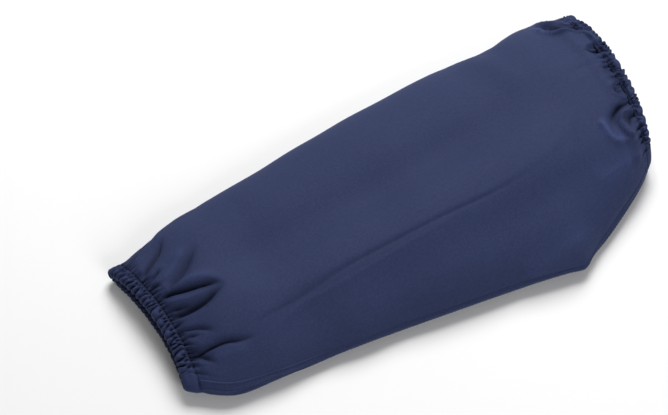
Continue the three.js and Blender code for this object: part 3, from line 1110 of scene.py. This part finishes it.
def twill_material():
    """Navy twill: fine diagonal wales in the cloth's own directions, with faint mottling, a sheen, painted
    shade in creases and a painted highlight on crests.
    """
    shading = Shading("navy_twill")
    weave = shading.add("UVMap", uv_map="weave")["UV"]
    wales = shading.bands(weave, WALE_SPACING, "DIAGONAL", DIAGONAL_BAND_TURN, Distortion=0.6, Detail=1)
    yarns = shading.bands(weave, YARN_SPACING)["Fac"]
    height = shading.add("Math", {0: yarns, 1: YARN_HEIGHT, 2: wales["Fac"]}, operation="MULTIPLY_ADD")
    bump = shading.add("Bump", {"Strength": 0.25, "Distance": 0.12 * MM, "Height": height["Value"]})
    mottle = shading.noise(Scale=130, Detail=5, Roughness=0.6)
    tones = shading.ramp(mottle, TWILL_TONES, places=(0.3, 0.72))
    yarn_tone = shading.multiply(tones, wales["Color"], YARN_TONE)
    grain = shading.noise(Scale=600, Detail=2)
    speckled = shading.multiply(yarn_tone, shading.span(grain, (0.3, 0.7), (0.88, 1.12)))
    # Painted highlight lightens the crests and painted shade darkens the creases
    painted_shade_and_highlight = shading.add("Attribute", attribute_name="painted_shade_and_highlight")["Fac"]
    highlighted = shading.multiply(speckled, shading.span(painted_shade_and_highlight, (0, -1), (1, PAINTED_CREST_HIGHLIGHT)))
    shadow = shading.add("Math", {0: painted_shade_and_highlight, 1: CREASE_SHADE}, operation="MULTIPLY")["Value"]
    darkened = shading.add("Mix", {"Factor": shadow, "A": highlighted, "B": PAINTED_SHADE_TONE}, data_type="RGBA")
    return shading.finish({
        "Base Color": darkened["Result"],
        "Normal": bump["Normal"],
        "Roughness": shading.span(mottle, (0, 1), (0.62, 0.8)),
        "Specular IOR Level": 0.12,
        "Sheen Weight": 0.08,
        "Sheen Roughness": 0.45,
        "Sheen Tint": SHEEN_TINT,
    })


def thread_material():
    """Navy sewing thread, a little uneven in tone."""
    shading = Shading("navy_thread")
    tones = shading.ramp(shading.noise(Scale=2500), THREAD_TONES)
    return shading.finish({"Base Color": tones, "Roughness": 0.8, "Specular IOR Level": 0.1})


def elastic_material():
    """Woven elastic: pale ribs along the band."""
    shading = Shading("woven_elastic")
    place = shading.add("TexCoord")["Object"]
    ribs = shading.bands(place, RIB_SPACING, Distortion=1)["Fac"]
    bump = shading.add("Bump", {"Strength": 0.4, "Distance": 0.2 * MM, "Height": ribs})["Normal"]
    tones = shading.ramp(ribs, ELASTIC_TONES)
    return shading.finish({"Base Color": tones, "Normal": bump, "Roughness": 0.7})


# Stage
def add_floor():
    half = FLOOR_HALF * MM
    mesh = bpy.data.meshes.new("floor")
    corners = [(-half, -half, 0), (half, -half, 0), (half, half, 0), (-half, half, 0)]
    mesh.from_pydata(corners, [], [(0, 1, 2, 3)])
    shading = Shading("pale_floor")
    tones = shading.ramp(shading.noise(Scale=3), FLOOR_TONES)
    mesh.materials.append(shading.finish({"Base Color": tones, "Roughness": 0.9}))
    floor = add_object("floor", mesh)
    floor.location.z = -FLOOR_DROP * MM


def add_camera():
    azimuth = math.radians(CAMERA_AZIMUTH)
    elevation = math.radians(CAMERA_ELEVATION)
    back = Vector((
        math.sin(azimuth) * math.cos(elevation),
        -math.cos(azimuth) * math.cos(elevation),
        math.sin(elevation),
    ))
    camera = bpy.data.cameras.new("camera")
    camera.sensor_width = SENSOR_WIDTH
    camera.lens = SENSOR_WIDTH * CAMERA_DISTANCE / (PICTURE_WIDTH * MM_PER_PIXEL)
    eye = add_object("camera", camera)
    eye.location = (Vector(CAMERA_TARGET) + back * CAMERA_DISTANCE) * MM
    eye.rotation_euler = back.to_track_quat("Z", "Y").to_euler()
    bpy.context.scene.camera = eye


def add_lights():
    for name, place, size, power in LIGHTS:
        light = bpy.data.lights.new(name, "AREA")
        light.size = size
        light.energy = power
        lamp = add_object(name, light)
        lamp.location = place
        lamp.rotation_euler = Vector(place).to_track_quat("Z", "Y").to_euler()
    world = bpy.data.worlds.new("studio")
    world.use_nodes = True
    background = world.node_tree.nodes["Background"]
    background.inputs["Color"].default_value = (1, 1, 1, 1)
    background.inputs["Strength"].default_value = SKY_STRENGTH
    bpy.context.scene.world = world
    bpy.context.scene.view_settings.view_transform = "Standard"


# The scene
add_camera()
add_lights()
add_floor()
twill = twill_material()
thread = thread_material()
settled = settled_body()
body = body_piece(settled, twill)
wrist_casing, wrist_points = hem_piece("wrist", twill)
arm_casing, arm_points = hem_piece("arm", twill)
seam = seam_piece(settled, twill)
wrist_stitching = hem_stitches("wrist", wrist_points, thread)
arm_stitching = hem_stitches("arm", arm_points, thread)
seam_stitching = seam_stitches(settled, thread)

for piece in (body, wrist_casing, arm_casing, seam, wrist_stitching, arm_stitching, seam_stitching):
    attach(piece, "root")
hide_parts("sleeve_body")
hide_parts("wrist_hem")
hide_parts("arm_hem")
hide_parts("side_seam")
elastic = elastic_material()
for node in ("wrist_elastic", "arm_elastic"):
    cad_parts[node].material_slots[0].material = elastic
